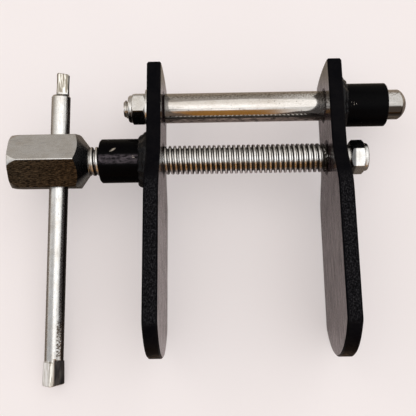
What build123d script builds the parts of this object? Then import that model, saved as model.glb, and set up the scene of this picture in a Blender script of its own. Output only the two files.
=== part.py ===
from build123d import *
import os
from math import asin, cos, radians, sin, sqrt

# Screw-operated spreader for disc brake calipers, lying on the long edges of its
# two jaw plates. All sizes in millimetres.
# Frame: X runs along the drive screw from its hexagon head towards the moving jaw,
# Y points from the screw to the guide rod, Z is up. The origin is where the screw's
# centre line crosses the inner face of the fixed jaw.

# Jaw plates: a narrow neck that carries rod and screw, an ogee, then a wide paddle
plate_thickness = 6.0
jaw_gap = 70.5
neck_width = 32.0
paddle_width = 50.0
top_above_rod = 16.7
tip_below_screw = 84.0
top_arc_radius = 90.0
tip_arc_radius = 31.0
top_corner_radius = 2.0
tip_corner_radius = 4.5
ogee_above_screw = 5.0
ogee_length = 27.0
plate_edge_chamfer = 0.6

# Guide rod, with a shoulder at the fixed jaw and a domed free end
rod_spacing = 24.0
rod_diameter = 13.0
rod_shoulder_chamfer = 1.0
rod_dome_height = 3.5
rod_beyond_bush = 9.3
rod_stub_beyond_nut = 2.0

# Drive screw: crowned hexagon, turned cone, threaded shank, journal, nut stub
thread_diameter = 12.5
head_across_flats = 22.5
head_length = 34.0
head_crown_length = 5.7
head_crown_depth = 1.15
head_corner_allowance = 0.15
cone_length = 5.8
neck_beyond_boss = 4.0
journal_diameter = 10.0
journal_end_play = 3.6
screw_stub_short_of_nut = 0.4

# Lock nuts with a nylon ring, and the plain washer under the rod's nut
stub_diameter = 8.0
stub_chamfer = 1.0
nut_across_flats = 13.0
nut_hex_height = 6.2
nut_collar_diameter = 12.0
nut_collar_height = 1.6
ring_diameter = 10.4
ring_height = 2.0
ring_recess = 0.3
washer_diameter = 17.0
washer_thickness = 1.6

# Threaded boss on the fixed jaw and guide bush on the moving jaw, both welded on
boss_diameter = 19.0
boss_length = 21.0
boss_chamfer = 0.6
bush_diameter = 18.8
bush_length = 20.6
bush_chamfer = 0.5
boss_weld_leg = 3.2
boss_weld_length = 4.6
bush_weld_leg = 3.8
bush_weld_length = 3.4

# Sliding tommy bar, both ends pressed flat so that it can't leave the head
bar_diameter = 8.1
bar_upper_reach = 38.0
bar_lower_reach = 96.0
bar_from_head_end = 19.7
bar_lean = 11.9
bar_skew = 2.0
bar_shoulder_chamfer = 0.8
swage_length = 10.0
swage_thickness = 5.5
swage_root_width = 8.6
swage_tip_width = 9.2
swage_corner_radius = 1.2
upper_swage_turn = 13.0
lower_swage_turn = -31.0

# Clearances, each on the radius
thread_clearance = 0.1
rod_clearance = 0.05
journal_clearance = 0.05
bar_clearance = 0.1
stub_clearance = 0.2

# Where the pieces lie along the screw
fixed_outer = -plate_thickness
moving_inner = jaw_gap
moving_outer = moving_inner + plate_thickness
boss_end = fixed_outer - boss_length
bush_end = moving_outer + bush_length
neck_end = boss_end - neck_beyond_boss
cone_start = neck_end - cone_length
head_end = neck_end - head_length
journal_end = moving_outer + journal_end_play
nut_height = nut_hex_height + nut_collar_height
screw_end = journal_end + nut_height - screw_stub_short_of_nut
washer_outer = fixed_outer - washer_thickness
rod_stub_end = washer_outer - nut_height - rod_stub_beyond_nut
rod_end = bush_end + rod_beyond_bush

# Radii used by more than one piece
thread_radius = thread_diameter / 2
rod_radius = rod_diameter / 2
stub_radius = stub_diameter / 2
boss_radius = boss_diameter / 2
bush_radius = bush_diameter / 2
head_corner_radius = head_across_flats / sqrt(3)

# Planes and axes: one along the rod, and the bar's own plane square to the bar
rod_plane = Plane(origin=(0, rod_spacing, 0))
rod_axis = Axis((0, rod_spacing, 0), (1, 0, 0))
lean, skew = radians(bar_lean), radians(bar_skew)
bar_plane = Plane(
    origin=(head_end + bar_from_head_end, 0, 0),
    x_dir=(cos(skew), -sin(skew) * cos(lean), -sin(skew) * sin(lean)),
    z_dir=(sin(skew), cos(skew) * cos(lean), cos(skew) * sin(lean)),
)
rod_nut_seat = Plane(origin=(washer_outer, rod_spacing, 0), x_dir=(0, 1, 0), z_dir=(-1, 0, 0))
screw_nut_seat = Plane(origin=(journal_end, 0, 0), x_dir=(0, 1, 0), z_dir=(1, 0, 0))


def jaw_plate(inner_face, holes):
    """Plate between inner_face and inner_face + thickness; holes are (height, radius)."""
    neck, paddle = neck_width / 2, paddle_width / 2
    top, tip = rod_spacing + top_above_rod, -tip_below_screw
    ogee_end = ogee_above_screw - ogee_length
    ogee_middle = ogee_above_screw - ogee_length / 2
    top_drop = top_arc_radius * (1 - cos(asin(neck / top_arc_radius)))
    tip_rise = tip_arc_radius * (1 - cos(asin(paddle / tip_arc_radius)))
    with BuildPart() as plate:
        with BuildSketch(Plane.YZ.offset(inner_face)):
            with BuildLine():
                TangentArc((top, 0), (top - top_drop, neck), tangent=(0, 1))
                Line((top - top_drop, neck), (ogee_above_screw, neck))
                Bezier(
                    (ogee_above_screw, neck), (ogee_middle, neck),
                    (ogee_middle, paddle), (ogee_end, paddle),
                )
                Line((ogee_end, paddle), (tip + tip_rise, paddle))
                TangentArc((tip, 0), (tip + tip_rise, paddle), tangent=(0, 1))
                mirror(about=Plane.XZ)
            make_face()
            for height, radius in holes:
                with Locations((height, 0)):
                    Circle(radius, mode=Mode.SUBTRACT)
        extrude(amount=plate_thickness)
        corners = plate.edges().filter_by(GeomType.LINE).filter_by(Axis.X).group_by(Axis.Y)
        fillet(corners[0], tip_corner_radius)
        fillet(corners[-1], top_corner_radius)
        faces = plate.faces().filter_by(Axis.X)
        chamfer([edge for face in faces for edge in face.outer_wire().edges()], plate_edge_chamfer)
    return plate.part


def weld_bead(section, root, plate_face, leg, length):
    """Fillet weld round a tube of radius root, leg high on the plate and length along it."""
    toe = (plate_face, root + leg)
    end = (plate_face + length, root)
    with BuildPart() as bead:
        with BuildSketch(section):
            with BuildLine():
                Polyline(toe, end, (plate_face, root), close=True)
            make_face()
        revolve(axis=Axis(section.origin, (1, 0, 0)))
    return bead.part


def lock_nut(seat, turn):
    """Hexagon on the seat, and a round collar with a recess for the ring."""
    with BuildPart() as nut:
        with BuildSketch(seat):
            RegularPolygon(nut_across_flats / 2, 6, major_radius=False, rotation=turn)
        extrude(amount=nut_hex_height)
        with BuildSketch(seat.offset(nut_hex_height)):
            Circle(nut_collar_diameter / 2)
        extrude(amount=nut_collar_height)
        with BuildSketch(seat):
            Circle(stub_radius)
        extrude(amount=nut_height, mode=Mode.SUBTRACT)
        with BuildSketch(seat.offset(nut_height)):
            Circle(ring_diameter / 2)
        extrude(amount=-ring_height - ring_recess, mode=Mode.SUBTRACT)
    return nut.part


def nylon_ring(seat):
    """Ring that fills the nut's recess up to just below the collar's rim."""
    with BuildPart() as ring:
        with BuildSketch(seat.offset(nut_height - ring_recess)):
            Circle(ring_diameter / 2)
            Circle(stub_radius, mode=Mode.SUBTRACT)
        extrude(amount=-ring_height)
    return ring.part


def swage(root, tip, turn):
    """Pressed end of the bar: a flat section that flares from root to tip."""
    with BuildPart() as end:
        for plane, width in ((root, swage_root_width), (tip, swage_tip_width)):
            with BuildSketch(plane):
                RectangleRounded(swage_thickness, width, swage_corner_radius, rotation=turn)
        loft()
    return end.part


# Fixed jaw: clear hole for the threaded shank, smaller hole for the rod's stub
with BuildPart() as fixed_plate:
    add(jaw_plate(fixed_outer, [
        (0, thread_radius + thread_clearance),
        (rod_spacing, stub_radius + stub_clearance),
    ]))

# Boss, the long threaded tube that the screw works in, and its weld
with BuildPart() as threaded_boss:
    with BuildSketch(Plane.YZ.offset(boss_end)):
        Circle(boss_radius)
        Circle(thread_radius + thread_clearance, mode=Mode.SUBTRACT)
    extrude(amount=boss_length)
    mouth = threaded_boss.edges().filter_by(GeomType.CIRCLE).group_by(Axis.X)[0]
    chamfer(mouth.sort_by(SortBy.RADIUS)[-1], boss_chamfer)

with BuildPart() as boss_weld:
    add(weld_bead(Plane.XY, boss_radius, fixed_outer, boss_weld_leg, -boss_weld_length))

# Guide rod: stub through the fixed jaw, shoulder, bar, domed end
with BuildPart() as guide_rod:
    with BuildSketch(rod_plane):
        with BuildLine():
            Polyline(
                (rod_end, 0), (rod_stub_end, 0), (rod_stub_end, stub_radius - stub_chamfer),
                (rod_stub_end + stub_chamfer, stub_radius), (0, stub_radius),
                (0, rod_radius - rod_shoulder_chamfer), (rod_shoulder_chamfer, rod_radius),
                (rod_end - rod_dome_height, rod_radius),
            )
            TangentArc(
                (rod_end, 0), (rod_end - rod_dome_height, rod_radius), tangent=(0, 1)
            )
        make_face()
    revolve(axis=rod_axis)

with BuildPart() as rod_washer:
    with BuildSketch(rod_nut_seat):
        Circle(washer_diameter / 2)
        Circle(stub_radius + stub_clearance, mode=Mode.SUBTRACT)
    extrude(amount=-washer_thickness)

with BuildPart() as rod_nut:
    add(lock_nut(rod_nut_seat, 0))

with BuildPart() as rod_nut_ring:
    add(nylon_ring(rod_nut_seat))

# Moving jaw: running holes for the rod and for the screw's journal
with BuildPart() as moving_plate:
    add(jaw_plate(moving_inner, [
        (0, journal_diameter / 2 + journal_clearance),
        (rod_spacing, rod_radius + rod_clearance),
    ]))

with BuildPart() as guide_bush:
    with BuildSketch(Plane(origin=(moving_outer, rod_spacing, 0), x_dir=(0, 1, 0), z_dir=(1, 0, 0))):
        Circle(bush_radius)
        Circle(rod_radius + rod_clearance, mode=Mode.SUBTRACT)
    extrude(amount=bush_length)
    mouth = guide_bush.edges().filter_by(GeomType.CIRCLE).group_by(Axis.X)[-1]
    chamfer(mouth.sort_by(SortBy.RADIUS)[-1], bush_chamfer)

with BuildPart() as bush_weld:
    add(weld_bead(rod_plane, bush_radius, moving_outer, bush_weld_leg, bush_weld_length))

# Drive screw: the hexagon is trimmed by a turned profile with the crown and the cone
with BuildPart() as drive_screw:
    turned = head_corner_radius + head_corner_allowance
    with BuildSketch(Plane.YZ.offset(head_end)):
        RegularPolygon(
            head_across_flats / 2, 6, major_radius=False, rotation=bar_lean + 30
        )
    extrude(amount=head_length)
    with BuildSketch(Plane.XY):
        with BuildLine():
            Polyline(
                (head_end, 0), (head_end, turned - head_crown_depth),
                (head_end + head_crown_length, turned), (cone_start, turned),
                (neck_end, thread_radius), (neck_end, 0), close=True,
            )
        make_face()
    revolve(axis=Axis.X, mode=Mode.INTERSECT)
    with BuildSketch(Plane.XY):
        with BuildLine():
            Polyline(
                (neck_end, 0), (neck_end, thread_radius), (moving_inner, thread_radius),
                (moving_inner, journal_diameter / 2), (journal_end, journal_diameter / 2),
                (journal_end, stub_radius), (screw_end - stub_chamfer, stub_radius),
                (screw_end, stub_radius - stub_chamfer), (screw_end, 0), close=True,
            )
        make_face()
    revolve(axis=Axis.X)
    with BuildSketch(bar_plane):
        Circle(bar_diameter / 2 + bar_clearance)
    extrude(amount=head_across_flats, both=True, mode=Mode.SUBTRACT)

with BuildPart() as screw_nut:
    add(lock_nut(screw_nut_seat, bar_lean))

with BuildPart() as screw_nut_ring:
    add(nylon_ring(screw_nut_seat))

# Tommy bar: a round bar through the head, with a pressed end on either side
with BuildPart() as tommy_bar:
    upper_root = bar_upper_reach - swage_length
    lower_root = bar_lower_reach - swage_length
    with BuildSketch(bar_plane.offset(-lower_root)):
        Circle(bar_diameter / 2)
    extrude(amount=lower_root + upper_root)
    chamfer(tommy_bar.edges().filter_by(GeomType.CIRCLE), bar_shoulder_chamfer)
    add(swage(bar_plane.offset(upper_root), bar_plane.offset(bar_upper_reach), upper_swage_turn))
    add(swage(bar_plane.offset(-lower_root), bar_plane.offset(-bar_lower_reach), lower_swage_turn))

pieces = {
    "fixed_plate": fixed_plate,
    "threaded_boss": threaded_boss,
    "boss_weld": boss_weld,
    "guide_rod": guide_rod,
    "rod_washer": rod_washer,
    "rod_nut": rod_nut,
    "rod_nut_ring": rod_nut_ring,
    "moving_plate": moving_plate,
    "guide_bush": guide_bush,
    "bush_weld": bush_weld,
    "drive_screw": drive_screw,
    "screw_nut": screw_nut,
    "screw_nut_ring": screw_nut_ring,
    "tommy_bar": tommy_bar,
}

os.makedirs("parts", exist_ok=True)
for name, piece in pieces.items():
    piece.part.label = name
    export_step(piece.part, f"parts/{name}.step")
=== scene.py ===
from math import atan2, ceil, cos, floor, pi, radians, sin, sqrt

import bmesh
import bpy
from mathutils import Matrix, Vector, noise


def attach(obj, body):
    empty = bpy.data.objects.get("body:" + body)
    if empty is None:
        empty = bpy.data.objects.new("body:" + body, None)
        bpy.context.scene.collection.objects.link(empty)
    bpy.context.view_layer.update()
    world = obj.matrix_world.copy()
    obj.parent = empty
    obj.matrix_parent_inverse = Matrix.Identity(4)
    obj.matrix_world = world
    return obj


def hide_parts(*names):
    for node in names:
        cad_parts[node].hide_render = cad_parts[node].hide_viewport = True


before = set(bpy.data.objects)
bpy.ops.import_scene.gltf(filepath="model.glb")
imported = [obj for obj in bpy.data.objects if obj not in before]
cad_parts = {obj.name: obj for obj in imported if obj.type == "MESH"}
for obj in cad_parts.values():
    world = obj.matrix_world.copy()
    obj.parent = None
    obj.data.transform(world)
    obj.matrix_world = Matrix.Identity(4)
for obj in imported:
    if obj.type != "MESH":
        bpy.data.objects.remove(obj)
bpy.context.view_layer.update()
mm = 0.001  # sizes below are in millimetres, Blender's are in metres


def span(node, axis):  # where a CAD node starts and ends along an axis, in mm
    reach = [corner[axis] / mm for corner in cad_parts[node].bound_box]
    return min(reach), max(reach)


class Socket:
    # an output of a node, so that masks read as plain expressions
    def __init__(self, recipe, output):
        self.recipe, self.output = recipe, output

    def calc(self, operation, *values):
        return self.recipe.node("ShaderNodeMath", {"operation": operation}, dict(enumerate(values)))

    def __add__(self, other):
        return self.calc("ADD", self, other)

    def __radd__(self, other):
        return self.calc("ADD", other, self)

    def __sub__(self, other):
        return self.calc("SUBTRACT", self, other)

    def __rsub__(self, other):
        return self.calc("SUBTRACT", other, self)

    def __mul__(self, other):
        return self.calc("MULTIPLY", self, other)

    def __rmul__(self, other):
        return self.calc("MULTIPLY", other, self)

    def __truediv__(self, other):
        return self.calc("DIVIDE", self, other)

    def abs(self):
        return self.calc("ABSOLUTE", self)

    def root(self):
        return self.calc("SQRT", self)

    def most(self, other):
        return self.calc("MAXIMUM", self, other)

    def least(self, other):
        return self.calc("MINIMUM", self, other)

    def step(self, start, end):  # eases from 0 at start to 1 at end, end may be the lower
        low, high = min(start, end), max(start, end)
        eased = self.recipe.node(
            "ShaderNodeMapRange", {"interpolation_type": "SMOOTHSTEP"},
            {"Value": self, "From Min": low, "From Max": high})
        return 1 - eased if start > end else eased

    def band(self, rise, fall):  # 1 between two places, easing over both
        return self.step(*rise) * self.step(*fall)


class Recipe:
    # the nodes of one material or of the world
    def __init__(self, tree):
        self.tree = tree

    def node(self, kind, settings=None, values=None, out=0):
        made = self.tree.nodes.new(kind)
        for key, value in (settings or {}).items():
            if key == "stops":
                stops = made.color_ramp.elements
                while len(stops) < len(value):
                    stops.new(1.0)
                for stop, (place, colour) in zip(stops, value):
                    stop.position, stop.color = place, (*colour, 1)
            else:
                setattr(made, key, value)
        for key, value in (values or {}).items():
            self.give(made.inputs[key], value)
        return Socket(self, made.outputs[out])

    def give(self, entry, value):
        if isinstance(value, Socket):
            self.tree.links.new(value.output, entry)
        elif entry.type == "RGBA" and len(value) == 3:
            entry.default_value = (*value, 1)
        else:
            entry.default_value = value

    def split(self, vector):
        return tuple(self.node("ShaderNodeSeparateXYZ", None, {0: vector}, k) for k in range(3))

    def blend(self, mask, low, high):  # a colour, low where the mask is 0
        return self.node("ShaderNodeMix", {"data_type": "RGBA"}, {0: mask, 6: low, 7: high}, 2)


class Finish(Recipe):
    # a material with one Principled shader; x, y and z are places on the tool in mm
    def __init__(self, name, **even):
        self.material = bpy.data.materials.new(name)
        self.material.use_nodes = True
        super().__init__(self.material.node_tree)
        self.shader = self.tree.nodes["Principled BSDF"]
        self.metal = 0.0
        for entry, value in even.items():
            self.feed(entry.replace("_", " "), value)
        self.spot = self.node("ShaderNodeVectorMath", {"operation": "SCALE"}, {
            0: self.node("ShaderNodeTexCoord", out="Object"), "Scale": 1 / mm})
        self.x, self.y, self.z = self.split(self.spot)

    def feed(self, entry, value):
        self.give(self.shader.inputs[entry], value)

    def finished(self):
        self.feed("Base Color", self.colour)
        self.feed("Metallic", self.metal)
        self.feed("Roughness", self.rough)
        self.feed("Normal", self.normal)
        return self.material

    def facing(self):
        return self.split(self.node("ShaderNodeTexCoord", out="Normal"))

    # Textures take a size in mm, a stretch along each axis and a shift to another part of the pattern
    def spread(self, size, stretch, shift):
        return self.node("ShaderNodeVectorMath", {"operation": "MULTIPLY_ADD"}, {
            0: self.spot, 1: [1 / (size * s) for s in stretch], 2: shift})

    def cloud(self, size, stretch=(1, 1, 1), shift=(0, 0, 0), detail=3.0, rough=0.55):
        return self.node("ShaderNodeTexNoise", None, {
            "Vector": self.spread(size, stretch, shift), "Scale": 1.0,
            "Detail": detail, "Roughness": rough})

    def cells(self, size, stretch=(1, 1, 1), shift=(0, 0, 0)):
        return self.node("ShaderNodeTexVoronoi", None, {
            "Vector": self.spread(size, stretch, shift), "Scale": 1.0}, "Distance")

    def relief(self, height, depth, over=None):  # depth in mm for a height of 1
        values = {"Height": height, "Distance": depth * mm, "Strength": 1.0}
        if over:
            values["Normal"] = over
        return self.node("ShaderNodeBump", None, values)

    def patch(self, centre, reach, turn):  # 1 at a spot seen from above, 0 beyond its reach
        x, y = self.x - centre[0], self.y - centre[1]
        c, s = cos(radians(turn)), sin(radians(turn))
        along, across = (x * c + y * s) / reach[0], (y * c - x * s) / reach[1]
        return (along * along + across * across).root().step(1.0, 0.55)


def added(name, data):  # a new object in the scene
    made = bpy.data.objects.new(name, data)
    bpy.context.scene.collection.objects.link(made)
    return made


# The photograph's viewpoint, found from the plates' and screw's corners
camera = {
    "target": (19.03, -21.62, 0.0), "distance": 280.0,
    "elevation": 76.0, "azimuth": 3.31, "roll": -0.71,
    "focalPixels": 658.1, "framePixels": 416, "sensor": 36.0, "clip": (0.01, 20),
}


def makeCamera(c):
    up, side, roll = radians(c["elevation"]), radians(c["azimuth"]), radians(c["roll"])
    back = Vector((sin(side) * cos(up), -cos(side) * cos(up), sin(up)))
    right = Vector((0, 1, 0)).cross(back).normalized()
    top = back.cross(right)
    rolledRight = right * cos(roll) + top * sin(roll)
    rolledTop = top * cos(roll) - right * sin(roll)
    place = (Vector(c["target"]) + back * c["distance"]) * mm
    data = bpy.data.cameras.new("viewpoint")
    data.sensor_width = c["sensor"]
    data.lens = c["focalPixels"] / c["framePixels"] * c["sensor"]
    data.clip_start, data.clip_end = c["clip"]
    made = added("viewpoint", data)
    made.matrix_world = Matrix.Translation(place) @ Matrix(
        (rolledRight, rolledTop, back)).transposed().to_4x4()
    bpy.context.scene.camera = made


makeCamera(camera)
bpy.context.scene.view_settings.view_transform = "Standard"
print("viewpoint set")


# Room light: the tool mirrors a bright ceiling, a grey wall beyond the rod and a dark
# brown one on the side of the bar's long end. Angles are from overhead towards the rod.
room = {
    "stops": [
        (-180, (0.30, 0.27, 0.24)), (-98, (0.38, 0.175, 0.04)), (-70, (0.40, 0.19, 0.045)),
        (-45, (0.46, 0.23, 0.065)), (-41, (1.12, 1.09, 1.06)), (-34, (1.20, 1.17, 1.15)),
        (-31, (0.11, 0.11, 0.12)), (-28, (1.02, 1.00, 0.98)), (-16, (1.22, 1.20, 1.18)),
        (-4, (1.12, 1.09, 1.06)), (6, (0.80, 0.75, 0.69)), (22, (0.56, 0.51, 0.45)),
        (54, (0.47, 0.435, 0.40)), (90, (0.36, 0.31, 0.255)), (180, (0.30, 0.27, 0.24)),
    ],
    "strength": 1.0, "fromLeft": (0.56, 0.56, 0.565), "fromRight": (1.02, 1.01, 0.99),
    "leftSide": (-0.16, -0.34), "leftFar": (-0.06, -0.13), "rightSide": (0.16, 0.34),
    "paper": (0.86, 0.80, 0.79),
}


def makeWorld(r):
    world = bpy.data.worlds.new("room")
    bpy.context.scene.world = world
    world.use_nodes = True
    w = Recipe(world.node_tree)
    backdrop = w.tree.nodes["Background"]
    x, y, z = w.split(w.node("ShaderNodeTexCoord", out="Generated"))
    turn = y.calc("ARCTAN2", y, z) / (2 * pi) + 0.5
    sky = w.node("ShaderNodeValToRGB", {"stops": [
        (a / 360 + 0.5, colour) for a, colour in r["stops"]]}, {"Fac": turn})
    sky = w.blend(x.step(*r["leftSide"]) * y.step(*r["leftFar"]), sky, r["fromLeft"])
    sky = w.blend(x.step(*r["rightSide"]), sky, r["fromRight"])
    seen = w.node("ShaderNodeLightPath", out="Is Camera Ray")
    w.give(backdrop.inputs["Color"], w.blend(seen, sky, r["paper"]))
    w.give(backdrop.inputs["Strength"], r["strength"])


lamps = {
    "ceilingLamp": {"place": (60, 20, 620), "size": 820.0, "watts": 1.3},
    "sideLamp": {"place": (-420, 240, 420), "size": 300.0, "watts": 0.30},
}
lampTone = {"aim": (15, -15, 0), "colour": (1.0, 0.985, 0.97)}


def makeLamp(name, place, size, watts, tone=lampTone):
    data = bpy.data.lights.new(name, "AREA")
    data.shape, data.size, data.energy = "SQUARE", size * mm, watts
    data.color = tone["colour"]
    lamp = added(name, data)
    lamp.location = Vector(place) * mm
    beam = Vector(tone["aim"]) * mm - lamp.location
    lamp.rotation_euler = beam.to_track_quat("-Z", "Y").to_euler()


paperFloor = {
    "height": -25.0, "reach": 2600.0, "creaseTone": 0.97, "grainDepth": 0.02,
    "colour": (0.80, 0.77, 0.77), "inMetal": (0.20, 0.165, 0.14), "seen": (0.56, 0.527, 0.527),
    "betweenJaws": (0.73, 0.64, 0.645), "jawsFrom": (-6, 2), "jawsTo": (76, 70),
    "beyondRod": (0.42, 0.36, 0.30), "beyondRodFrom": (40, 52),
    "farGlow": (0.45, 0.22, 0.06), "farFrom": (-105, -125), "seenGlow": (0.36, 0.335, 0.335),
}


def makeFloor(p):
    # seen by the camera as pale paper; for the tool's metal it carries painted reflections instead, pale
    # between the jaws, grey-brown beyond the rod and dark elsewhere
    reach, height = p["reach"] * mm / 2, p["height"] * mm
    mesh = bpy.data.meshes.new("paperFloor")
    mesh.from_pydata([(-reach, -reach, height), (reach, -reach, height),
                      (reach, reach, height), (-reach, reach, height)], [], [(0, 1, 2, 3)])
    f = Finish("paper", Roughness=0.85, Specular_IOR_Level=0.15)
    tone = f.cloud(55, detail=2) * 0.5 + f.cloud(2.5, shift=(3, 1, 0)) * 0.12
    sheet = f.blend(tone.step(0.1, 0.6), [c * p["creaseTone"] for c in p["seen"]], p["seen"])
    between = f.x.band(p["jawsFrom"], p["jawsTo"])
    beyondRod, far = f.y.step(*p["beyondRodFrom"]), f.y.step(*p["farFrom"])
    inMetal = f.blend(beyondRod, f.blend(between, p["inMetal"], p["betweenJaws"]), p["beyondRod"])
    inMetal = f.blend(far, inMetal, (0, 0, 0))
    mirrored = f.node("ShaderNodeLightPath", out="Is Glossy Ray")
    seen = f.node("ShaderNodeLightPath", out="Is Camera Ray")
    f.feed("Base Color", f.blend(seen, f.blend(mirrored, p["colour"], inMetal), sheet))
    # painted reflection: the far side glows brown, but only in what the metal mirrors
    glow = f.blend(mirrored * far, (0, 0, 0), p["farGlow"])
    f.feed("Emission Color", f.blend(seen, glow, p["seenGlow"]))
    f.feed("Emission Strength", 1.0)
    f.feed("Normal", f.relief(f.cloud(1.2), p["grainDepth"]))
    mesh.materials.append(f.material)
    added("paperFloor", mesh)


makeWorld(room)
for name, settings in lamps.items():
    makeLamp(name, **settings)
makeFloor(paperFloor)
print("room, lamps and paper floor made")


blackPaint = {
    "colour": (0.0022, 0.0022, 0.0032), "dull": (0.0052, 0.0048, 0.0056),
    "roughness": (0.20, 0.36), "peelSize": 0.9, "peelDepth": 0.010, "weldGloss": 0.16,
    "bareSteelAndGlint": (0.40, 0.36, 0.31), "wornBrown": (0.085, 0.058, 0.040),
    "speck": (0.036, 0.035, 0.039), "drawn": (0.056, 0.036, 0.038), "hollow": (0.001, 0.001, 0.001),
}


def paintFinish(name, gloss, tint=1.0, chipsAndGlints=(), p=blackPaint):
    # sprayed black with orange peel, dust and chips down to the steel; the same bright spots also serve as
    # painted glints
    f = Finish(name, Specular_IOR_Level=gloss)
    tone = f.cloud(7) * 0.6 + f.cloud(1.1, shift=(5, 2, 8)) * 0.4
    dust = f.cells(2.1, shift=(1, 4, 2)).step(0.09, 0.03)
    dust = dust * f.cloud(9, shift=(8, 0, 3)).step(0.5, 0.62)
    low, high = p["roughness"]
    clean, dull = [c * tint for c in p["colour"]], [c * tint for c in p["dull"]]
    f.colour = f.blend(tone.step(0.3, 0.75), clean, dull)
    f.rough = low + (high - low) * tone + dust * 0.25
    f.normal = f.relief(f.cloud(p["peelSize"], detail=1), p["peelDepth"])
    for centre, reach, turn, ragged in chipsAndGlints:
        edge = f.cloud(0.7, (1, 1, 1), (centre[0], 3, 1), 4, 0.65)
        bareAndGlint = f.patch(centre, reach, turn) * edge.step(ragged, ragged + 0.08)
        f.colour = f.blend(bareAndGlint, f.colour, p["bareSteelAndGlint"])
        f.metal = f.metal + bareAndGlint * 0.7
        f.rough = f.rough + bareAndGlint * 0.1
    return f


plateLook = {
    "gloss": 0.012, "coatRoughness": 0.16, "drawnDepth": 0.02, "wrinkleDepth": 1.3,
    "broadFacing": (0.80, 0.97), "edgeFacing": (0.75, 0.95),
    "wrinkleTop": (-11.0, -21.0), "wrinkleBottom": (-77.0, -67.0), "wornFrom": (-81.7, -83.9),
    "shadedHoleRings": [(0.0, 7.4), (24.0, 7.5)], "shadedRingFade": 0.4,
}


def plateFinish(w, p=blackPaint):
    # glossy broad faces with drawing lines, dull sheared edges that turn coarse on the paddle
    f = paintFinish("platePaint", w["gloss"])
    nx, ny, nz = f.facing()
    broad = nx.abs().step(*w["broadFacing"])
    lines = f.cloud(0.75, (1, 18, 1), (2, 7, 4), 4, 0.6)
    fine = f.cloud(0.28, (1, 40, 1), (6, 1, 4), 3, 0.6)
    spots = f.cloud(1.5, (1, 2.2, 1), (3, 8, 8), 5, 0.7).step(0.60, 0.70)
    # painted shadow: a ring round each hole on the inner faces loses its gloss, so it reads dark where the
    # screw and rod enter
    for height, radius in w["shadedHoleRings"]:
        away = ((f.y - height) * (f.y - height) + f.z * f.z).root()
        spots = spots.most(away.step(radius + w["shadedRingFade"], radius) * 1.3)
    drawing = (0.48 + 0.50 * lines.step(0.34, 0.64)) * (0.70 + 0.55 * fine.step(0.30, 0.60))
    f.feed("Coat Weight", broad * drawing * (1 - 0.75 * spots))
    f.feed("Coat Roughness", w["coatRoughness"])
    f.colour = f.blend(broad * lines.step(0.35, 0.70), f.colour, p["drawn"])
    f.normal = f.relief(lines * broad, w["drawnDepth"], f.normal)
    coarse = nz.abs().step(*w["edgeFacing"]) * f.y.band(w["wrinkleTop"], w["wrinkleBottom"])
    lumps = f.cloud(0.95, (0.8, 1.35, 1), (4, 4, 1), 4, 0.7)
    grit = f.cloud(0.52, (1, 1.6, 1), (9, 4, 2), 4, 0.75)
    f.colour = f.blend(coarse * grit.step(0.48, 0.60) * 0.9, f.colour, p["speck"])
    f.colour = f.blend(coarse * lumps.step(0.45, 0.30), f.colour, p["hollow"])
    f.normal = f.relief(lumps * coarse, w["wrinkleDepth"], f.normal)
    worn = f.cloud(1.6, (1, 1, 0.8), (7, 1, 5), 4, 0.6).step(0.42, 0.58) * f.y.step(*w["wornFrom"])
    f.colour = f.blend(worn * 0.8, f.colour, p["wornBrown"])
    f.rough = f.rough + worn * 0.25 + coarse * 0.2
    return f.finished()


tubeLook = {
    "gloss": 0.028, "tint": 0.35,
    "chipsAndGlints": [((-20.8, 2.05), (1.75, 0.55), 31, 0.38), ((-12.0, -1.4), (1.5, 0.7), -38, 0.52),
              # the three narrow ticks on the bush are painted glints in the bare steel colour
              ((81.0, 20.9), (0.20, 1.1), 0, 0.50), ((82.1, 21.1), (0.24, 0.8), 0, 0.50),
              ((83.1, 21.0), (0.16, 0.6), 0, 0.50)],
    "scuffSheen": (0.085, 0.073, 0.085), "scuffDepth": 0.05, "scuffSheenFrom": (-4.4, -3.2), "scuffSheenTo": (0.4, -1.0),
    "scuffSheenUpper": (0, 3), "scuffSheenBoss": (0, -4),
}


def tubeFinish(w):
    # the boss carries a paler scratched band along its upper side, a painted highlight where it mirrors the
    # light; the bush has a few painted glints
    f = paintFinish("tubePaint", w["gloss"], w["tint"], w["chipsAndGlints"])
    band = f.y.band(w["scuffSheenFrom"], w["scuffSheenTo"])
    band = band * f.z.step(*w["scuffSheenUpper"]) * f.x.step(*w["scuffSheenBoss"])
    fine = f.cloud(0.45, (7, 1, 1), (4, 9, 2), 4, 0.7)
    scratch = fine * 0.6 + f.cloud(1.3, (1.2, 1, 1), (8, 2, 2), 4) * 0.4
    # painted highlight: the band is coloured paler instead of reflecting more
    f.colour = f.blend(band * scratch.step(0.38, 0.62), f.colour, w["scuffSheen"])
    f.normal = f.relief(scratch * band, w["scuffDepth"], f.normal)
    return f.finished()


def dressNode(name, material):
    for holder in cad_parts[name].material_slots:
        holder.material = material


platePaint = plateFinish(plateLook)
tubePaint = tubeFinish(tubeLook)
weldPaint = paintFinish("weldPaint", blackPaint["weldGloss"]).finished()
dressNode("fixed_plate", platePaint)
dressNode("moving_plate", platePaint)
dressNode("threaded_boss", tubePaint)
dressNode("guide_bush", tubePaint)
print("painted plates, boss and bush dressed")


zincSteel = {
    "colour": (0.72, 0.72, 0.715), "warm": (0.58, 0.555, 0.52), "grime": (0.10, 0.075, 0.055),
    "mottled": (0.36, 0.36, 0.37), "mottling": 0.75, "roughness": (0.18, 0.34),
    "paintedShade": (0.035, 0.037, 0.042), "underside": (0.012, 0.009, 0.007),
    "pitDepth": 0.010, "scratchDepth": 0.004,
}


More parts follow.
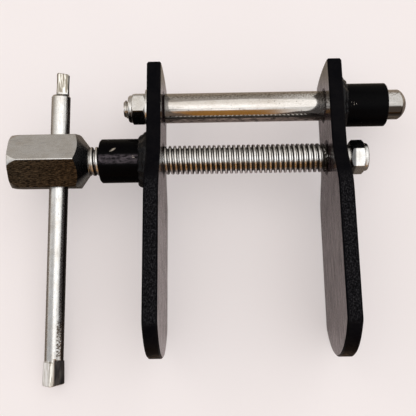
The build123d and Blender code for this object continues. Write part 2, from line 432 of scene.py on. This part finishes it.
def zincFinish(name, grain, seed, z=zincSteel):
    # cloudy bright zinc, mottled and scratched along its grain, with a few grimy pits
    f = Finish(name)
    tone = f.cloud(6, shift=(seed, 2, 5)) * 0.65 + f.cloud(1.0, shift=(seed, 9, 1), detail=4) * 0.35
    f.scratch = f.cloud(0.35, grain, (seed, 5, 3), 3, 0.7)
    pits = f.cells(1.4, shift=(seed, 1, 6)).step(0.16, 0.05)
    pits = pits * f.cloud(4, shift=(6, seed, 2)).step(0.46, 0.62)
    mottle = f.cloud(0.55, grain, (4, seed, 7), 5, 0.8).step(0.50, 0.72)
    f.colour = f.blend(tone.step(0.35, 0.72), z["colour"], z["warm"])
    f.colour = f.blend(mottle * z["mottling"], f.colour, z["mottled"])
    f.colour = f.blend(pits * 0.7, f.colour, z["grime"])
    low, high = z["roughness"]
    f.rough = low + (high - low) * tone + (f.scratch - 0.5) * 0.18 + pits * 0.2 + mottle * 0.08
    f.metal = 1.0 - pits * 0.4
    f.normal = f.relief(f.scratch, z["scratchDepth"], f.relief(1 - pits, z["pitDepth"]))
    return f


screwMarks = {
    "grain": (9, 1, 1), "seed": 1.0,
    "shadeAndOil": (0.028, 0.024, 0.020), "threadFrom": (-31.5, -30.5), "flankFacing": (0.24, 0.52),
    "rootRadius": (6.0, 5.5), "rootFacing": (0.40, 0.70), "greaseFrom": (67.6, 68.8), "greaseTo": (80, 78),
    "streak": (0.165, 0.125, 0.08), "flatsFrom": (-31.9, -33.4), "flatsFacing": (-0.45, -0.60),
    "flatsLevel": (0.35, 0.20), "coneFrom": (-37.4, -37.0), "coneTo": (-31.7, -32.1),
    "coneFacing": (0.45, 0.55), "coneLit": (0.60, 0.30),
    "paleUnderneath": (0.40, 0.385, 0.37), "paleUnderneathFacing": (-0.50, -0.66),
}


def screwFinish(m, z=zincSteel):
    # painted shade darkens the thread's flanks and its roots along the top and bottom, oil darkens its
    # greasy end, the crests stay bright
    seed = m["seed"]
    f = zincFinish("screwZinc", m["grain"], seed)
    nx, ny, nz = f.facing()
    radius = (f.y * f.y + f.z * f.z).root()
    roots = radius.step(*m["rootRadius"]) * ny.abs().step(*m["rootFacing"])
    flankShadeAndGrease = nx.abs().step(*m["flankFacing"]).most(roots) * f.x.step(*m["threadFrom"])
    flankShadeAndGrease = flankShadeAndGrease * (0.70 + 0.40 * f.cloud(3, shift=(1, seed, 8)))
    grease = f.x.band(m["greaseFrom"], m["greaseTo"])
    flankShadeAndGrease = flankShadeAndGrease.most(grease * f.cloud(1.2, shift=(3, seed, 1)).step(0.30, 0.46))
    f.colour = f.blend(flankShadeAndGrease, f.colour, m["shadeAndOil"])
    f.rough = f.rough + flankShadeAndGrease * 0.2
    # painted shade: the head's lower flats are coloured near black with brown streaks, and the cone is
    # coloured black except its lit top, paler and streaked underneath
    flats = ny.step(*m["flatsFacing"]) * nx.abs().step(*m["flatsLevel"]) * f.x.step(*m["flatsFrom"])
    streaks = f.cloud(0.34, (4.5, 1, 1), (seed, 3, 8), 4, 0.76).step(0.40, 0.70)
    f.colour = f.blend(flats, f.colour, f.blend(streaks, z["underside"], m["streak"]))
    cone = f.x.band(m["coneFrom"], m["coneTo"]) * nx.step(*m["coneFacing"]) * ny.step(*m["coneLit"])
    f.colour = f.blend(cone * (0.80 + 0.2 * f.scratch), f.colour, z["paintedShade"])
    paleUnderneath = cone * ny.step(*m["paleUnderneathFacing"]) * (0.5 + f.scratch)
    f.colour = f.blend(paleUnderneath, f.colour, m["paleUnderneath"])
    f.metal = f.metal - paleUnderneath * 0.9
    return f.finished()


barMarks = {
    "grain": (1, 5, 3), "seed": 3.0, "paintedDarkFacing": (0.78, 0.86),
    "upperEnd": (27.6, 28.4), "lowerEnd": (-83.5, -85.0),
    "pressed": (0.88, 0.86, 0.80), "score": (0.34, 0.30, 0.24),
    "bruised": (0.92, 0.91, 0.90), "bruisedFacing": (-0.15, -0.35),
    "biteFrom": (-84.0, -82.0), "biteTo": (-66.0, -69.0), "biteFacing": (0.32, 0.50),
}


def barFinish(m, z=zincSteel):
    # painted shade on the side towards the jaws, where it mirrors the black plates; pressed ends scored
    # along the bar, bite of a grip
    seed = m["seed"]
    f = zincFinish("barZinc", m["grain"], seed)
    nx, ny, nz = f.facing()
    paintedDarkSide = nx.step(*m["paintedDarkFacing"]) * (0.8 + 0.3 * f.cloud(2, (1, 4, 1), (2, seed, 2)))
    f.colour = f.blend(paintedDarkSide, f.colour, z["paintedShade"])
    upper, lower = f.y.step(*m["upperEnd"]), f.y.step(*m["lowerEnd"])
    pressed = upper.most(lower)
    score = f.cloud(0.60, (1, 14, 14), (6, seed, 1), 3, 0.7).step(0.46, 0.58)
    f.colour = f.blend(pressed * (1 - paintedDarkSide), f.colour, f.blend(score, m["pressed"], m["score"]))
    f.colour = f.blend(upper * score * (1 - paintedDarkSide) * 0.25, f.colour, z["underside"])
    f.rough = f.rough + pressed * 0.12
    bruised = lower * nx.step(*m["bruisedFacing"])
    f.colour = f.blend(bruised * (1 - 0.5 * score), f.colour, m["bruised"])
    f.metal = f.metal - bruised * 0.65
    bitten = f.y.band(m["biteFrom"], m["biteTo"]) * nx.step(*m["biteFacing"])
    bite = f.cloud(0.75, (2.4, 0.7, 1), (seed, 8, 2), 4, 0.7).step(0.46, 0.53)
    f.colour = f.blend(bitten * bite, f.colour, z["grime"])
    return f.finished()


nutMarks = {
    "washerZinc": {"seed": 7.0},
    "screwNutZinc": {"seed": 5.0, "darkFacing": (0.45, 0.60), "darkSeat": (82.4, 81.6)},
    "rodNutZinc": {"seed": 9.0, "darkFacing": (-0.45, -0.65)},
}


def nutFinish(name, seed, darkFacing=None, darkSeat=None, grain=(1, 2, 2), z=zincSteel):
    # painted shade: facets facing the other axis are darkened, and so is the screw nut next to its seat
    f = zincFinish(name, grain, seed)
    nx, ny, nz = f.facing()
    if darkFacing:
        dark = ny.step(*darkFacing) * (0.8 + 0.2 * f.scratch)
        f.colour = f.blend(dark, f.colour, z["paintedShade"])
    if darkSeat:
        dark = f.x.step(*darkSeat) * (0.75 + 0.25 * f.scratch)
        f.colour = f.blend(dark, f.colour, z["paintedShade"])
    return f.finished()


screwZinc = screwFinish(screwMarks)
barZinc = barFinish(barMarks)
nutFinishes = {name: nutFinish(name, **marks) for name, marks in nutMarks.items()}
dressNode("rod_washer", nutFinishes["washerZinc"])


ringNylon = {
    "colour": (0.62, 0.64, 0.62), "yellowed": (0.74, 0.73, 0.68), "glow": 0.15, "glowDepth": (1, 1, 1),
    "roughness": (0.38, 0.58), "unevenDepth": 0.01,
}


def nylonFinish(n):
    f = Finish("nylon", Subsurface_Weight=n["glow"], Subsurface_Radius=[v * mm for v in n["glowDepth"]])
    tone = f.cloud(1.5, detail=3)
    low, high = n["roughness"]
    f.colour = f.blend(tone, n["colour"], n["yellowed"])
    f.rough = low + (high - low) * tone
    f.normal = f.relief(f.cloud(0.6), n["unevenDepth"])
    return f.finished()


nylonLook = nylonFinish(ringNylon)
for name in ("rod_nut_ring", "screw_nut_ring"):
    dressNode(name, nylonLook)


groundSteel = {
    "colour": (0.63, 0.61, 0.59), "dim": (0.46, 0.415, 0.37), "roughness": (0.06, 0.15),
    "mark": (0.030, 0.024, 0.020), "ringDepth": 0.0016, "spotDepth": 0.02,
    "freckle": (0.21, 0.17, 0.125), "freckledFrom": (24.5, 27.0),
    "smudgeFrom": (67.6, 68.6), "smudgeTo": (76, 74),
    "below": (0.32, 0.275, 0.23), "belowFacing": (-0.91, -0.94),
    "screwReflectionFrom": (-0.845, -0.865), "screwReflectionTo": (-0.935, -0.915),
    "tarnishAndReflection": (0.03, 0.02, 0.013), "rodEndMost": 0.97, "rodEndFrom": (96.5, 98.0),
    "rodEndTo": (104.4, 103.4), "reflectionStripeFrom": (17.8, 18.4), "reflectionStripeTo": (21.4, 20.6),
}


def groundFinish(g=groundSteel):
    # smooth and bright with fine rings, scratches along it, freckles on the outer side and dark spots;
    # painted shade on the side facing the screw, a painted dark line mirroring the screw and a painted
    # brown reflection band on the tarnished end
    f = Finish("groundSteel")
    tone = f.cloud(11, (2.4, 1, 1), (2, 3, 8)) * 0.6 + f.cloud(1.6, (3, 1, 1), (4, 1, 1)) * 0.4
    rings = f.cloud(0.22, (1, 18, 18), (1, 7, 7), 2, 0.6)
    lines = f.cloud(0.5, (26, 1, 1), (8, 2, 2), 3, 0.6)
    scratch = f.cloud(0.30, (12, 1, 1), (3, 5, 2), 4, 0.75).step(0.58, 0.68)
    freckle = f.cloud(0.6, (1.3, 1, 1), (1, 6, 5), 5, 0.75).step(0.42, 0.62)
    freckle = freckle * (0.12 + 0.88 * f.y.step(*g["freckledFrom"]))
    specks = f.cells(1.25, (1.6, 1, 1), (3, 3, 5)).step(0.20, 0.07)
    specks = specks * f.cloud(2.6, shift=(5, 1, 1)).step(0.50, 0.60)
    smudge = f.cloud(1.1, (1.2, 1, 1), (5, 2, 6), 5, 0.7).step(0.53, 0.58)
    spots = specks.most(smudge * f.x.band(g["smudgeFrom"], g["smudgeTo"]))
    nx, ny, nz = f.facing()
    below = ny.step(*g["belowFacing"])
    scribble = below * f.cloud(0.7, (4, 1, 1), (9, 2, 6), 4, 0.7).step(0.50, 0.58)
    # the dark marks include a painted reflection: the line where the rod mirrors the screw's dark underside
    dark = spots.most(scribble).most(ny.band(g["screwReflectionFrom"], g["screwReflectionTo"]))
    dimmed = tone.step(0.35, 0.75) * 0.6 + lines.step(0.55, 0.8) * 0.25
    f.colour = f.blend(scratch * 0.5, f.blend(dimmed, g["colour"], g["dim"]), g["freckle"])
    f.colour = f.blend(freckle * 0.95, f.colour, g["freckle"])
    # painted shade: the side facing the screw is dimmed
    f.colour = f.blend(below * 0.8, f.colour, g["below"])
    # painted reflection: a brown band on the rod's end where the golden band is mirrored, together with
    # tarnished freckles
    freckleAndReflectionStripe = (0.25 * freckle + f.y.band(g["reflectionStripeFrom"], g["reflectionStripeTo"])).least(g["rodEndMost"])
    f.colour = f.blend(f.x.band(g["rodEndFrom"], g["rodEndTo"]) * freckleAndReflectionStripe, f.colour, g["tarnishAndReflection"])
    f.colour = f.blend(dark * 0.9, f.colour, g["mark"])
    low, high = g["roughness"]
    f.metal = 1 - dark * 0.2
    f.rough = low + (high - low) * tone + (rings - 0.5) * 0.10 + dark * 0.3 + freckle * 0.12
    f.normal = f.relief(rings, g["ringDepth"], f.relief(1 - spots, g["spotDepth"]))
    return f.finished()


rodSteel = groundFinish()
print("steel finishes made")


def shade(work, crease):
    bmesh.ops.recalc_face_normals(work, faces=work.faces)
    for face in work.faces:
        face.smooth = True
    for edge in work.edges:
        edge.smooth = len(edge.link_faces) == 2 and edge.calc_face_angle(0) < radians(crease)


def meshOf(name, verts, faces, crease=35, merge=0.003):
    work = bmesh.new()
    points = [work.verts.new([c * mm for c in v]) for v in verts]
    for face in faces:
        if len(set(face)) > 2:
            work.faces.new([points[k] for k in face])
    bmesh.ops.remove_doubles(work, verts=work.verts, dist=merge * mm)
    shade(work, crease)
    mesh = bpy.data.meshes.new(name)
    work.to_mesh(mesh)
    work.free()
    return added(name, mesh)


def placePiece(piece, body, slot, material, *instead):
    piece.data.materials.clear()
    piece.data.materials.append(material)
    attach(piece, body)
    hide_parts(*instead)
    print(piece.name, "rides on", body)


def turned(rows, steps, centreY=0.0, closed=False):
    # rows of x and radius, each a number or a rule of the angle; capped at both ends or closed as a ring
    verts, faces = [], []
    for k in range(steps + 1):
        a = 2 * pi * k / steps
        for x, r in rows:
            x = x(a) if callable(x) else x
            radius = r(a, x) if callable(r) else r
            verts.append((x, centreY + radius * cos(a), radius * sin(a)))
    n = len(rows)
    for k in range(steps):
        for i in range(n if closed else n - 1):
            j = (i + 1) % n
            faces.append((k * n + i, k * n + j, (k + 1) * n + j, (k + 1) * n + i))
    if not closed:
        faces.append([k * n for k in range(steps)])
        faces.append([k * n + n - 1 for k in range(steps)])
    return verts, faces


def hoops(sections, points):
    # faces between closed sections of the same number of points, capped at both ends
    faces = []
    for i in range(sections - 1):
        for k in range(points):
            m = (k + 1) % points
            faces.append((i * points + k, i * points + m, (i + 1) * points + m, (i + 1) * points + k))
    return faces + [list(range(points)), list(range((sections - 1) * points, sections * points))]


def threadRows(start, end, pitch, crest, root, startRadius, endRadius, samples, fade):
    # rows that follow a right-hand helix; the thread runs out at both ends
    crestEdge, rootEdge = 0.44, 0.72  # shares of half a pitch, counted from the crest's middle

    def lift(u):  # flank shape over one pitch, 0 in the root and 1 on the crest
        v = abs(u - floor(u) - 0.5) * 2
        h = min(max((rootEdge - v) / (rootEdge - crestEdge), 0.0), 1.0)
        return (h * h * (3 - 2 * h) + h) / 2

    def rowAt(j):
        def along(a):
            return min(max(start + pitch * (j / samples + a / (2 * pi)) - pitch, start), end)

        def radius(a, x):
            fromStart, fromEnd = min(max((x - start) / fade, 0.0), 1.0), (end - x) / fade
            r = root + (crest - root) * lift(j / samples)
            r = startRadius + (r - startRadius) * fromStart
            if fromEnd <= 0:
                return endRadius
            return min(r, endRadius + (crest - endRadius) * fromEnd) if fromEnd < 1 else r
        return along, radius
    return [rowAt(j) for j in range(ceil((end - start) / pitch * samples) + samples + 1)]


driveScrew = {
    "headEnd": span("drive_screw", 0)[0], "neck": -31.9, "coneStart": -37.1, "acrossFlats": 22.5,
    "crownLength": 7.0, "crownDepth": 1.20, "crownPower": 1.7, "crownSteps": 12, "crownStart": 0.35,
    "rimDepth": 1.15, "rimBevel": [(0.0, 0.45), (0.12, 0.20)], "overhang": 1.0, "crease": 9,
    "cornerAngle": 41.9, "cornerRound": 0.6, "cornerSteps": 3, "clear": 0.15, "cap": 0.5,
    "coneEndRadius": 6.85, "neckRound": 0.5, "neckRadius": 6.2, "capDepth": 0.01,
    "boreCentre": -45.3, "boreRadius": 4.15, "boreLean": 11.9, "boreSkew": 2.0, "boreSteps": 64,
    "boreMouth": [(-16, 1.6), (-11.5, 0.35), (-10.9, 0.0), (10.9, 0.0), (11.5, 0.35), (16, 1.6)],
    "threadRadius": 6.25, "rootRadius": 5.0, "pitch": 25.4 / 12, "threadStart": -32.1,
    "startRadius": 5.95, "runoutRadius": 5.75, "runout": 0.5, "shankStart": -34.9, "shoulder": 70.5,
    "journalRadius": 5.0, "journalEnd": 80.1, "stubRadius": 4.0, "stubEnd": span("drive_screw", 0)[1],
    "stubChamfer": 1.0, "stubCap": 0.3, "turnSteps": 48, "samples": 12, "shankCrease": 26, "flatArea": 30.0,
}


def barLine(lean, skew):  # the cross hole's direction, towards the rod's side
    lean, skew = radians(lean), radians(skew)
    return Vector((sin(skew), cos(skew) * cos(lean), cos(skew) * sin(lean)))


def hexPrism(s):
    # longer than the head at both ends, corners rounded by a small arc
    points = []
    for k in range(6):
        a = radians(s["cornerAngle"] + 60 * k)
        inset = s["acrossFlats"] / sqrt(3) - s["cornerRound"] / cos(radians(30))
        for i in range(s["cornerSteps"] + 1):
            b = a + radians(-30 + 60 * i / s["cornerSteps"])
            points.append((inset * cos(a) + s["cornerRound"] * cos(b),
                           inset * sin(a) + s["cornerRound"] * sin(b)))
    verts = [(x, *point) for x in (s["headEnd"] - s["overhang"], s["neck"] + s["overhang"])
             for point in points]
    return meshOf("driveScrewHead", verts, hoops(2, len(points)))


def headProfile(s):
    # the turned shape that cuts the corners to a crown at the end and to a cone at the neck
    wide = s["acrossFlats"] / sqrt(3) + s["clear"]
    rim = wide - s["rimDepth"]
    rows = [(s["headEnd"], s["cap"])]
    rows += [(s["headEnd"] + along, rim - inward) for along, inward in s["rimBevel"]]
    for i in range(s["crownSteps"] + 1):  # steeper towards the end
        t = i / s["crownSteps"]
        along = s["crownStart"] + (s["crownLength"] - s["crownStart"]) * t
        rows.append((s["headEnd"] + along, wide - s["crownDepth"] * (1 - t) ** s["crownPower"]))
    rows += [(s["coneStart"], wide), (s["neck"] - s["neckRound"], s["coneEndRadius"]),
             (s["neck"], s["neckRadius"]), (s["neck"] + s["capDepth"], s["cap"])]
    return meshOf("headProfile", *turned(rows, 2 * s["turnSteps"]))


def headBore(s):
    # the cross hole with both its mouths worn wider
    axis = barLine(s["boreLean"], s["boreSkew"])
    across = Vector((1, 0, 0)).cross(axis).normalized()
    over = axis.cross(across)
    verts = []
    for along, wider in s["boreMouth"]:
        for k in range(s["boreSteps"]):
            a = 2 * pi * k / s["boreSteps"]
            point = axis * along + (over * cos(a) + across * sin(a)) * (s["boreRadius"] + wider)
            verts.append((s["boreCentre"] + point.x, point.y, point.z))
    return meshOf("headBore", verts, hoops(len(s["boreMouth"]), s["boreSteps"]))


def makeHead(s):
    head, helpers = hexPrism(s), (headProfile(s), headBore(s))
    for operation, tool in zip(("INTERSECT", "DIFFERENCE"), helpers):
        cut = head.modifiers.new(operation, "BOOLEAN")
        cut.operation, cut.solver, cut.object = operation, "EXACT", tool
    bpy.context.view_layer.update()
    solid = head.evaluated_get(bpy.context.evaluated_depsgraph_get())
    done = bpy.data.meshes.new_from_object(solid)
    head.modifiers.clear()
    head.data = done
    for helper in helpers:
        bpy.data.objects.remove(helper)
    return head


def joined(name, pieces):  # one mesh of several, each with its own crease angle
    whole = bpy.data.meshes.new(name)
    work = bmesh.new()
    for piece, crease in pieces:
        own = bmesh.new()
        own.from_mesh(piece.data)
        shade(own, crease)
        own.to_mesh(piece.data)
        own.free()
        work.from_mesh(piece.data)
        bpy.data.objects.remove(piece)
    work.to_mesh(whole)
    work.free()
    return added(name, whole)


def makeScrew(s):
    rows = [(s["shankStart"], s["cap"]), (s["shankStart"], s["startRadius"]),
            (s["threadStart"], s["startRadius"])]
    rows += threadRows(s["threadStart"], s["shoulder"], s["pitch"], s["threadRadius"], s["rootRadius"],
                       s["startRadius"], s["runoutRadius"], s["samples"], s["runout"])
    rows += [(s["shoulder"], s["journalRadius"]), (s["journalEnd"], s["journalRadius"]),
             (s["journalEnd"], s["stubRadius"]), (s["stubEnd"] - s["stubChamfer"], s["stubRadius"]),
             (s["stubEnd"], s["stubRadius"] - s["stubChamfer"]), (s["stubEnd"], s["stubCap"])]
    head, shank = makeHead(s), meshOf("driveScrewShank", *turned(rows, s["turnSteps"]))
    screw = joined("driveScrew", ((head, s["crease"]), (shank, s["shankCrease"])))
    for face in screw.data.polygons:  # the six flats stay flat
        face.use_smooth = face.area < s["flatArea"] * mm * mm
    placePiece(screw, "screw", "zinc_steel", screwZinc, "drive_screw")


makeScrew(driveScrew)


guideRod = {
    "axisY": 24.0, "radius": 6.5, "end": span("guide_rod", 0)[1], "steps": 64,
    "dome": 3.5, "domeLead": 0.25, "domeEdge": 0.99, "domeSteps": 12, "domeCap": 0.2,
    "shoulder": 1.0, "shoulderSteps": 4, "shoulderSlant": 0.1,
    "stubRadius": 4.0, "stubRoot": 3.35, "stubStart": 3.25, "stubEnd": span("guide_rod", 0)[0],
    "stubCap": 0.3, "pitch": 1.25, "threadEnd": -7.0, "runout": 0.8, "samples": 8, "crease": 32,
}


def makeRod(g):
    rows = [(g["stubEnd"], g["stubCap"]), (g["stubEnd"], g["stubStart"])]
    rows += threadRows(g["stubEnd"], g["threadEnd"], g["pitch"], g["stubRadius"], g["stubRoot"],
                       g["stubStart"], g["stubRadius"], g["samples"], g["runout"])
    rows += [(0.0, g["stubRadius"]), (0.0, g["radius"] - g["shoulder"])]
    for i in range(g["shoulderSteps"] + 1):  # slightly rounded shoulder
        t = i / g["shoulderSteps"]
        a = pi / 2 * t
        along = (1 - cos(a)) * (1 - g["shoulderSlant"]) + g["shoulderSlant"] * t
        rows.append((g["shoulder"] * along, g["radius"] - g["shoulder"] * (1 - sin(a))))
    dome = (g["radius"] ** 2 + g["dome"] ** 2) / (2 * g["dome"])  # radius of the ball it is cut from
    widest = atan2(g["radius"], dome - g["dome"])
    rows.append((g["end"] - g["dome"] - g["domeLead"], g["radius"]))
    for i in range(1, g["domeSteps"]):
        a = widest * (1 - i / g["domeSteps"])
        rows.append((g["end"] - dome * (1 - cos(a)), dome * sin(a) * (g["domeEdge"] if i == 1 else 1)))
    rows.append((g["end"], g["domeCap"]))
    rod = meshOf("guideRod", *turned(rows, g["steps"], g["axisY"]), crease=g["crease"])
    placePiece(rod, "fixed_jaw", "ground_steel", rodSteel, "guide_rod")


makeRod(guideRod)


weldBeads = {
    "boss": {"node": "boss_weld", "body": "fixed_jaw", "axisY": 0.0, "radius": 9.5, "face": -6.0,
             "away": -1, "ripple": 0.05, "seed": 11.0},
    "bush": {"node": "bush_weld", "body": "moving_jaw", "axisY": 24.0, "radius": 9.4, "face": 76.5,
             "away": 1, "ripple": 0.03, "seed": 29.0},
}
beadShape = {
    "steps": 176, "arcSteps": 8, "inPlate": -0.3, "inTube": -0.8, "tubeEdge": 0.98,
    "size": 0.97, "swell": 0.10, "lump": 0.10, "bulge": 0.14, "ripples": 13, "rippleSwing": 3.0,
    "swellScale": 1.7, "lumpScale": 5.5, "sag": (0.80, 0.20), "crease": 60,
}


def makeWeld(name, w, b):
    # a lumpy fillet: ripples every few degrees, thick and thin places, a few drops
    leg = (span(w["node"], 1)[1] - span(w["node"], 1)[0]) / 2 - w["radius"]
    length = span(w["node"], 0)[1] - span(w["node"], 0)[0]
    straight, rounding = b["sag"]  # the section lies between a straight and a round fillet
    verts, faces = [], []
    for k in range(b["steps"]):
        a = 2 * pi * k / b["steps"]
        here = Vector((cos(a), sin(a), 0))
        swell = noise.noise(here * b["swellScale"] + Vector((w["seed"], 0, 0)))
        lump = noise.noise(here * b["lumpScale"] + Vector((0, w["seed"], 0)))
        ripple = abs(sin(a * b["ripples"] + swell * b["rippleSwing"]))
        size = b["size"] + b["swell"] * swell + b["lump"] * lump
        section = [(b["inPlate"], b["inTube"]), (b["inPlate"], leg * size * b["tubeEdge"])]
        for i in range(b["arcSteps"] + 1):
            turn = pi / 2 * i / b["arcSteps"]
            bulge = 1 + (w["ripple"] * ripple + b["bulge"] * lump) * sin(2 * turn)
            sag = (straight + rounding * abs(cos(2 * turn))) * size * bulge
            section.append((length * sin(turn) * sag, leg * cos(turn) * sag))
        section.append((length * size, b["inTube"]))
        for x, out in section:
            radius = w["radius"] + out
            verts.append((w["face"] + w["away"] * x, w["axisY"] + radius * cos(a), radius * sin(a)))
    n = len(section)
    for k in range(b["steps"]):
        for i in range(n):
            m, j = (k + 1) % b["steps"], (i + 1) % n
            faces.append((k * n + i, k * n + j, m * n + j, m * n + i))
    bead = meshOf(name, verts, faces, crease=b["crease"])
    placePiece(bead, w["body"], "black_weld", weldPaint, w["node"])


for name, settings in weldBeads.items():
    makeWeld(name + "Bead", settings, beadShape)


tommyBar = {
    "centre": (-45.3, 0.0, 0.0), "lean": 11.9, "skew": 2.0, "radius": 4.05, "steps": 72,
    "upper": 38.0, "lower": -96.0, "flatHalf": 2.75, "rootHalf": 4.3, "tipHalf": 4.6,
    "edge": 0.35, "edgeStart": 0.12, "plainFrom": -80.0, "plainTo": 26.0, "plainSteps": 24, "crease": 28,
    "upperEnd": {
        "pressed": 9.0, "turn": 13.0, "squareness": 5, "shoulder": 0.8, "shoulderSlope": 0.75,
        "waist": -0.10, "uneven": 0.03, "unevenScale": (3, 0.3), "shift": 0.7, "sheared": 5.0,
        "slant": -0.030, "short": -0.02, "flatFrom": 0.03, "flatTo": 0.37, "steps": 14,
    },
    "lowerEnd": {
        "pressed": 10.0, "turn": -31.0, "squareness": 6, "flare": 0.1, "lead": 3.5,
        "roundStart": 3.0, "roundLength": 4.0, "lipStart": 1.8, "lipSwing": 0.9, "lipLength": 0.35,
        "lipEdge": (0.5, 1.6), "nearHole": 0.2, "steps": 48,
    },
}


def ease(v):
    v = min(max(v, 0.0), 1.0)
    return v * v * (3 - 2 * v)


def squared(angle, half, wide, squareness):  # radius of a rounded rectangle
    p, q = abs(cos(angle)) / half, abs(sin(angle)) / wide
    return (p ** squareness + q ** squareness) ** (-1 / squareness)


def upperRadius(t, a, b, e):
    root = b["upper"] - e["pressed"]
    if t <= root:  # a short taper leads into the flats
        return b["radius"] - max(t - root + e["shoulder"], 0) * e["shoulderSlope"]
    along = (t - root) / e["pressed"]
    around, lengthwise = e["unevenScale"]
    uneven = noise.noise(Vector((cos(a) * around, sin(a) * around, t * lengthwise)))
    half = b["flatHalf"] + e["waist"] * sin(pi * along) + e["uneven"] * uneven
    wide = b["rootHalf"] + (b["tipHalf"] - b["rootHalf"]) * along
    return squared(a - radians(e["turn"]), half, wide, e["squareness"])


def lowerRadius(t, a, b, e):
    root, fromLip = b["lower"] + e["pressed"], a - radians(e["turn"])
    if t >= root + e["lead"]:
        return b["radius"]
    along = (root - t) / e["pressed"]
    wide = b["rootHalf"] + (b["tipHalf"] - b["rootHalf"]) * max(along, 0)
    flat = squared(fromLip, b["flatHalf"] + e["flare"] * along, wide, e["squareness"])
    lip = ease(e["lipEdge"][0] + e["lipEdge"][1] * cos(fromLip))  # on the face turned to +X
    start = root + e["roundStart"] * (1 - lip) + lip * (e["lipStart"] - e["lipSwing"] * cos(2 * fromLip))
    length = e["roundLength"] * (1 - lip) + e["lipLength"] * lip
    radius = b["radius"] + (flat - b["radius"]) * ease((start - t) / length)
    # what reaches the head's hole stays slimmer than the hole
    return min(radius, b["radius"]) if t > root + e["nearHole"] else radius


def barStations(b, upper, lower):
    # places along the bar, close together where its shape changes
    edge, root = b["edge"], b["upper"] - upper["pressed"]
    pressed, plain = lower["pressed"] + lower["roundLength"], b["plainTo"] - b["plainFrom"]
    flats = upper["pressed"] - upper["flatFrom"] - upper["flatTo"]
    stations = [b["lower"] + v for v in (0, b["edgeStart"])]
    stations += [b["lower"] + edge + pressed * i / lower["steps"] for i in range(lower["steps"] + 1)]
    stations += [b["plainFrom"] + plain * i / b["plainSteps"] for i in range(b["plainSteps"] + 1)]
    stations += [root - upper["shoulder"], root - upper["shoulder"] / 2, root]
    stations += [root + upper["flatFrom"] + flats * i / upper["steps"] for i in range(upper["steps"] + 1)]
    stations += [b["upper"] - v for v in (edge, b["edgeStart"], 0)]
    return sorted(set(round(v, 3) for v in stations))


def makeBar(b):
    # round stock; each end is pressed between two jaws, which leaves flats and a lip
    axis = barLine(b["lean"], b["skew"])
    side = (Vector((1, 0, 0)) - axis * axis.x).normalized()
    down = axis.cross(side)
    upper, lower = b["upperEnd"], b["lowerEnd"]
    centre, root = Vector(b["centre"]), b["upper"] - upper["pressed"]
    verts, stations = [], barStations(b, upper, lower)
    for t in stations:
        toEnd = min(b["upper"] - t, t - b["lower"])
        sheared = max(t - root - upper["sheared"], 0.0)  # the upper end was cut a little off square
        for k in range(b["steps"]):
            a = 2 * pi * k / b["steps"]
            radius = upperRadius(t, a, b, upper) if t > 0 else lowerRadius(t, a, b, lower)
            radius -= max(b["edge"] - toEnd, 0.0)
            along = t + (upper["slant"] * radius * cos(a) + upper["short"]) * sheared
            shift = upper["shift"] if t > root else 0.0
            verts.append(centre + axis * along + side * (shift + radius * cos(a)) + down * radius * sin(a))
    bar = meshOf("tommyBar", verts, hoops(len(stations), b["steps"]), b["crease"])
    placePiece(bar, "tommy_bar", "zinc_steel", barZinc, "tommy_bar")


makeBar(tommyBar)


lockNuts = {
    "rodNut": {"node": "rod_nut", "body": "fixed_jaw", "seat": -7.6, "away": -1, "axisY": 24.0,
               "turn": -2.0, "finish": "rodNutZinc"},
    "screwNut": {"node": "screw_nut", "body": "screw", "seat": 80.1, "away": 1, "axisY": 0.0,
                 "turn": 19.0, "finish": "screwNutZinc"},
}
nutShape = {
    "flatHalf": 6.5, "hexHeight": 6.2, "height": 7.8, "bore": 4.0, "boreChamfer": 0.45, "steps": 120,
    "seatRadius": 6.25, "seatSlope": 1.35, "seatRows": (0.08, 0.2, 0.35, 0.5, 0.7, 0.95),
    "topRadius": 6.15, "topSlope": 1.55, "topRows": (1.1, 0.8, 0.55, 0.35, 0.15, 0.0),
    "collar": 6.0, "collarStart": 0.02, "collarWall": 0.35, "collarSteps": 6,
    "lip": 0.25, "lipRadius": 5.18, "ringBore": 5.2, "recess": 2.3, "crease": 24,
}


def makeNut(name, w, s):
    # hexagon with turned corners on both faces, and a collar rolled over the ring
    def hexRadius(a):
        k = (a - radians(w["turn"])) % radians(60) - radians(30)
        return s["flatHalf"] / cos(k)

    top, rolled = s["hexHeight"], s["height"] - s["hexHeight"]
    rows = [(0.0, s["bore"] + s["boreChamfer"]), (0.0, s["seatRadius"])]
    for x in s["seatRows"] + tuple(top - v for v in s["topRows"]):
        cone = min(s["seatRadius"] + x * s["seatSlope"], s["topRadius"] + (top - x) * s["topSlope"])
        rows.append((x, lambda a, _, c=cone: min(hexRadius(a), c)))
    rows.append((top + s["collarStart"], s["collar"]))
    for i in range(s["collarSteps"] + 1):
        a = pi / 2 * i / s["collarSteps"]
        height = s["collarWall"] + (1 - s["collarWall"]) * sin(a)
        rows.append((top + rolled * height, s["ringBore"] + (s["collar"] - s["ringBore"]) * cos(a)))
    rows += [(s["height"] - s["lip"], s["lipRadius"]), (s["height"] - s["recess"], s["lipRadius"]),
             (s["height"] - s["recess"], s["bore"]), (s["boreChamfer"], s["bore"])]
    rows = [(w["seat"] + w["away"] * x, r) for x, r in rows]
    nut = meshOf(name, *turned(rows, s["steps"], w["axisY"], closed=True), crease=s["crease"])
    placePiece(nut, w["body"], "zinc_steel", nutFinishes[w["finish"]], w["node"])


for name, settings in lockNuts.items():
    makeNut(name, settings, nutShape)
